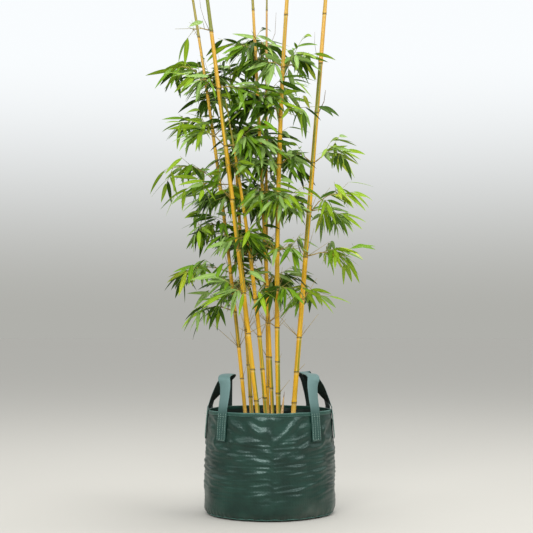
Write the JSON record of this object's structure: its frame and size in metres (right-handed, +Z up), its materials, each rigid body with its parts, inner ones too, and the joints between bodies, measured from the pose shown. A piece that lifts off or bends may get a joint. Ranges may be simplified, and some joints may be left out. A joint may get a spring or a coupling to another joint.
{
  "type": "potted bamboo",
  "caption": "Clump-forming golden bamboo in a round woven plastic planter bag with stitched lifting loops, its arching leafy branches held above bare yellow canes.",
  "frame": {"origin": "centre of the bag's flat underside, on the surface that the plant stands on", "axes": "+Z up, -Y towards the viewer of the picture, +X to that viewer's right"},
  "size_m": [0.9218, 0.6369, 2.64],
  "materials": {
    "bag_fabric": "satin",
    "strap_webbing": "matte",
    "potting_mix": "matte",
    "shoot_sheath": "matte",
    "culm": "satin",
    "foliage": "satin"
  },
  "bodies": {
    "root": {"culm_back_left": "culm", "culm_front_left": "culm", "culm_front_right": "culm", "culm_left": "culm", "culm_middle": "culm", "culm_right": "culm", "culm_thin_back": "culm", "culm_thin_front": "culm", "leaves_back_left_1": "foliage", "leaves_back_left_2": "foliage", "leaves_back_left_3": "foliage", "leaves_back_left_4": "foliage", "leaves_front_left_1": "foliage", "leaves_front_left_2": "foliage", "leaves_front_left_3": "foliage", "leaves_front_left_4": "foliage", "leaves_front_left_5": "foliage", "leaves_front_left_6": "foliage", "leaves_front_left_7": "foliage", "leaves_front_left_8": "foliage", "leaves_front_right_1": "foliage", "leaves_front_right_2": "foliage", "leaves_front_right_3": "foliage", "leaves_front_right_4": "foliage", "leaves_front_right_5": "foliage", "leaves_front_right_6": "foliage", "leaves_front_right_7": "foliage", "leaves_left_1": "foliage", "leaves_left_2": "foliage", "leaves_left_3": "foliage", "leaves_left_4": "foliage", "leaves_left_5": "foliage", "leaves_left_6": "foliage", "leaves_left_7": "foliage", "leaves_middle_1": "foliage", "leaves_middle_2": "foliage", "leaves_middle_3": "foliage", "leaves_middle_4": "foliage", "leaves_middle_5": "foliage", "leaves_right_1": "foliage", "leaves_right_2": "foliage", "leaves_right_3": "foliage", "leaves_right_4": "foliage", "leaves_right_5": "foliage", "leaves_right_6": "foliage", "leaves_right_7": "foliage", "leaves_thin_back_1": "foliage", "leaves_thin_back_2": "foliage", "leaves_thin_back_3": "foliage", "leaves_thin_back_4": "foliage", "leaves_thin_back_5": "foliage", "leaves_thin_front_1": "foliage", "leaves_thin_front_2": "foliage", "loop_back_left": "strap_webbing", "loop_back_right": "strap_webbing", "loop_front_left": "strap_webbing", "loop_front_right": "strap_webbing", "planter_bag": "bag_fabric", "potting_mix": "potting_mix", "young_shoot": "shoot_sheath"}
  },
  "joints": []
}
